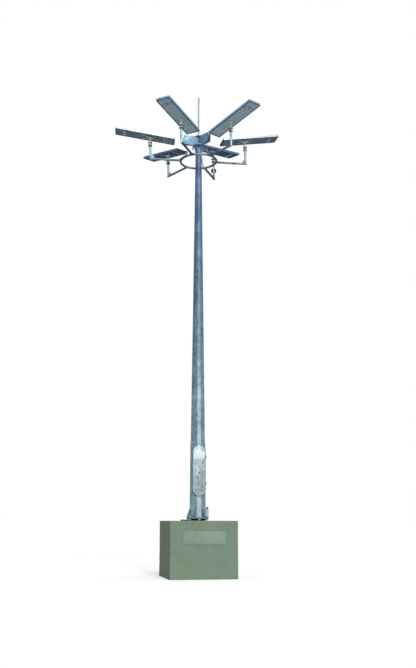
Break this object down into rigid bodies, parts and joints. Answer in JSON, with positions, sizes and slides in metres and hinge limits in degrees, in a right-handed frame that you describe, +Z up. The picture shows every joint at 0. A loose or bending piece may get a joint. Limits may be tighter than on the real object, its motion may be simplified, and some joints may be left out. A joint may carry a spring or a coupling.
{
  "type": "high mast solar floodlight tower with lowering carriage",
  "caption": "Tapered galvanised mast on a square plinth with a base door and a ring carriage of solar floodlights that lowers on wire ropes from a pulley head.",
  "frame": {"origin": "centre of the plinth's underside, on the ground", "axes": "+Z up along the mast, -Y out of the base door, +X to the right of the door"},
  "size_m": [4.5662, 4.1265, 12.91],
  "materials": {
    "painted_concrete": "green masonry paint, mottled",
    "plaque_paint": "painted plate, bare",
    "galvanised_steel": "hot-dip galvanised, streaked",
    "stud_steel": "dull zinc-plated bolts",
    "bright_zinc": "bright zinc",
    "weathered_strip": "weathered steel strip",
    "dark_fixing": "dark fixing",
    "label_plate": "white plate, bare",
    "cast_sheave": "dark cast sheave",
    "wire_rope": "stranded steel rope",
    "lamp_casting": "pale grey powder coat",
    "lamp_frame": "blue-grey anodised frame",
    "solar_glass": "dark cells under glass",
    "lamp_underside": "grey ribbed heat-sink face",
    "sensor_dome": "dark sensor window"
  },
  "bodies": {
    "mast": {"plinth": "painted_concrete", "plinth_plaque": "plaque_paint", "base_flange": "galvanised_steel", "anchor_bolts": "stud_steel", "foot_sleeve": "weathered_strip", "earth_lug": "bright_zinc", "earth_strip": "weathered_strip", "mast_lower": "galvanised_steel", "mast_upper": "galvanised_steel", "joint_bolts": "stud_steel", "door_frame": "galvanised_steel", "hinge_brackets": "galvanised_steel", "head_plate": "galvanised_steel", "head_arm_1": "galvanised_steel", "head_arm_2": "galvanised_steel", "head_arm_3": "galvanised_steel", "sheaves": "cast_sheave", "lightning_rod": "bright_zinc", "rope_1": "wire_rope", "rope_2": "wire_rope", "rope_3": "wire_rope", "rope_runs": "wire_rope"},
    "carriage": {"carriage_ring": "galvanised_steel", "rope_lugs": "galvanised_steel", "arm_1": "galvanised_steel", "arm_2": "galvanised_steel", "arm_3": "galvanised_steel", "arm_4": "galvanised_steel", "arm_5": "galvanised_steel", "arm_6": "galvanised_steel", "fitters": "lamp_casting", "lamp_1": "lamp_frame", "lamp_2": "lamp_frame", "lamp_3": "lamp_frame", "lamp_4": "lamp_frame", "lamp_5": "lamp_frame", "lamp_6": "lamp_frame", "solar_panels": "solar_glass", "lamp_undersides": "lamp_underside", "sensors": "sensor_dome", "junction_box": "dark_fixing"},
    "door_leaf": {"door": "galvanised_steel", "door_lock": "dark_fixing", "door_label": "label_plate", "hinge_straps": "galvanised_steel"}
  },
  "joints": [
    {"name": "carriage_slide", "type": "slide", "parent": "mast", "child": "carriage", "axis": [0, 0, -1], "range_m": [0, 7.2], "deforming": ["rope_1", "rope_2", "rope_3"]},
    {"name": "door_hinge", "type": "hinge", "parent": "mast", "child": "door_leaf", "pos_m": [0.173, -0.218, 2.605], "axis": [0, 0, 1], "range_deg": [0, 110]}
  ]
}
